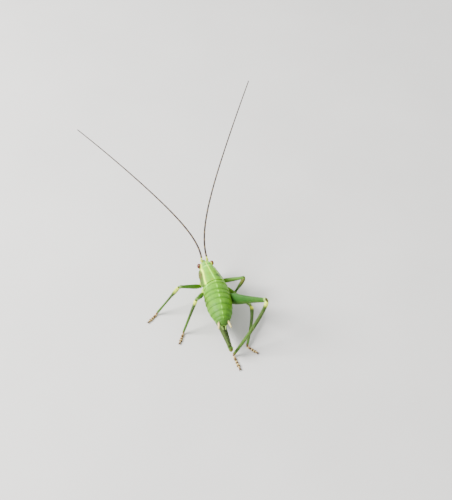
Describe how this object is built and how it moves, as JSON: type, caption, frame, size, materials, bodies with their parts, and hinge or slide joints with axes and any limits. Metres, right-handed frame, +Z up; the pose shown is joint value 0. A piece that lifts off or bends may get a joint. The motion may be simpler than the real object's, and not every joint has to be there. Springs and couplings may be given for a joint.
{
  "type": "bush-cricket nymph, still life-size model",
  "caption": "Still, life-size model of a wingless green bush-cricket nymph standing with its head turned, long feelers spread and one hind leg raised.",
  "frame": {"origin": "on the floor, under the middle of the bounding box", "axes": "+Z up, +Y the way the abdomen points forward, +X to the insect's right"},
  "size_m": [0.0438, 0.066, 0.0271],
  "materials": {
    "skin": "soft waxy cuticle, leaf green, satin with fine pale speckle",
    "shield": "smooth thin plate of light green cuticle with cream side stripes",
    "leg": "firm green cuticle, satin, pale at the knees",
    "foot": "brown padded cuticle, matt",
    "claw_cream": "cream horny cuticle, satin",
    "eye": "dark red-brown faceted eye, glossy",
    "feeler": "olive-brown ringed cuticle, satin"
  },
  "bodies": {
    "root": {"abdomen_1": "skin", "abdomen_2": "skin", "abdomen_3": "skin", "abdomen_4": "skin", "abdomen_5": "skin", "abdomen_6": "skin", "abdomen_tail": "skin", "head": "skin", "left_cercus": "claw_cream", "left_eye": "eye", "left_feeler_base": "feeler", "left_feeler_middle": "feeler", "left_feeler_tip": "feeler", "left_front_coxa": "skin", "left_front_femur": "leg", "left_front_foot": "foot", "left_front_tibia": "leg", "left_hind_coxa": "skin", "left_hind_femur": "leg", "left_hind_foot": "foot", "left_hind_tibia": "leg", "left_long_palp": "skin", "left_mandible": "skin", "left_middle_coxa": "skin", "left_middle_femur": "leg", "left_middle_foot": "foot", "left_middle_tibia": "leg", "left_scape": "skin", "left_short_palp": "skin", "left_valve": "skin", "mesothorax": "skin", "metathorax": "skin", "neck": "skin", "pronotum": "shield", "prothorax": "skin", "right_cercus": "claw_cream", "right_eye": "eye", "right_feeler_base": "feeler", "right_feeler_middle": "feeler", "right_feeler_tip": "feeler", "right_front_coxa": "skin", "right_front_femur": "leg", "right_front_foot": "foot", "right_front_tibia": "leg", "right_hind_coxa": "skin", "right_hind_femur": "leg", "right_hind_foot": "foot", "right_hind_tibia": "leg", "right_long_palp": "skin", "right_mandible": "skin", "right_middle_coxa": "skin", "right_middle_femur": "leg", "right_middle_foot": "foot", "right_middle_tibia": "leg", "right_scape": "skin", "right_short_palp": "skin", "right_valve": "skin", "upper_lip": "skin"}
  },
  "joints": []
}
